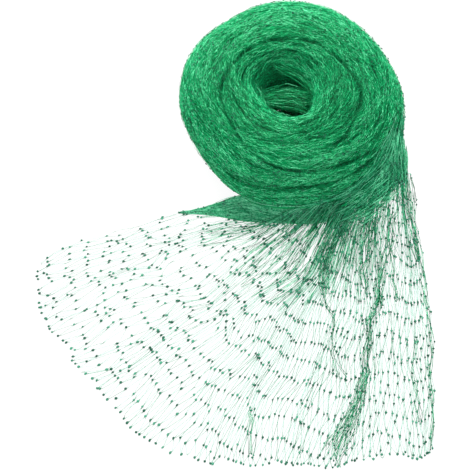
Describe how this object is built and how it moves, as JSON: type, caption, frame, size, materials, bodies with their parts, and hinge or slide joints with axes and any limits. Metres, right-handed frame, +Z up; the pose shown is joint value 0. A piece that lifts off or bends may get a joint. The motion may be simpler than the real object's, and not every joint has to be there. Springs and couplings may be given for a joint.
{
  "type": "bird netting roll",
  "caption": "Gathered garden netting wound into a short open-cored roll standing on its end, with its loose end fanned out flat in front as an open diamond mesh.",
  "frame": {"origin": "middle of the part's box, on the surface it stands on", "axes": "+Z up along the roll's core, -Y towards the front where the loose end is spread, +X to the right"},
  "size_m": [0.3848, 0.4812, 0.0954],
  "materials": {
    "wound_netting": "green plastic monofilament net in many tight layers, soft sheen",
    "loose_netting": "fine green plastic monofilament net, knotted, in one open layer"
  },
  "bodies": {
    "root": {"wound_roll": "wound_netting", "loose_net": "loose_netting"}
  },
  "joints": []
}
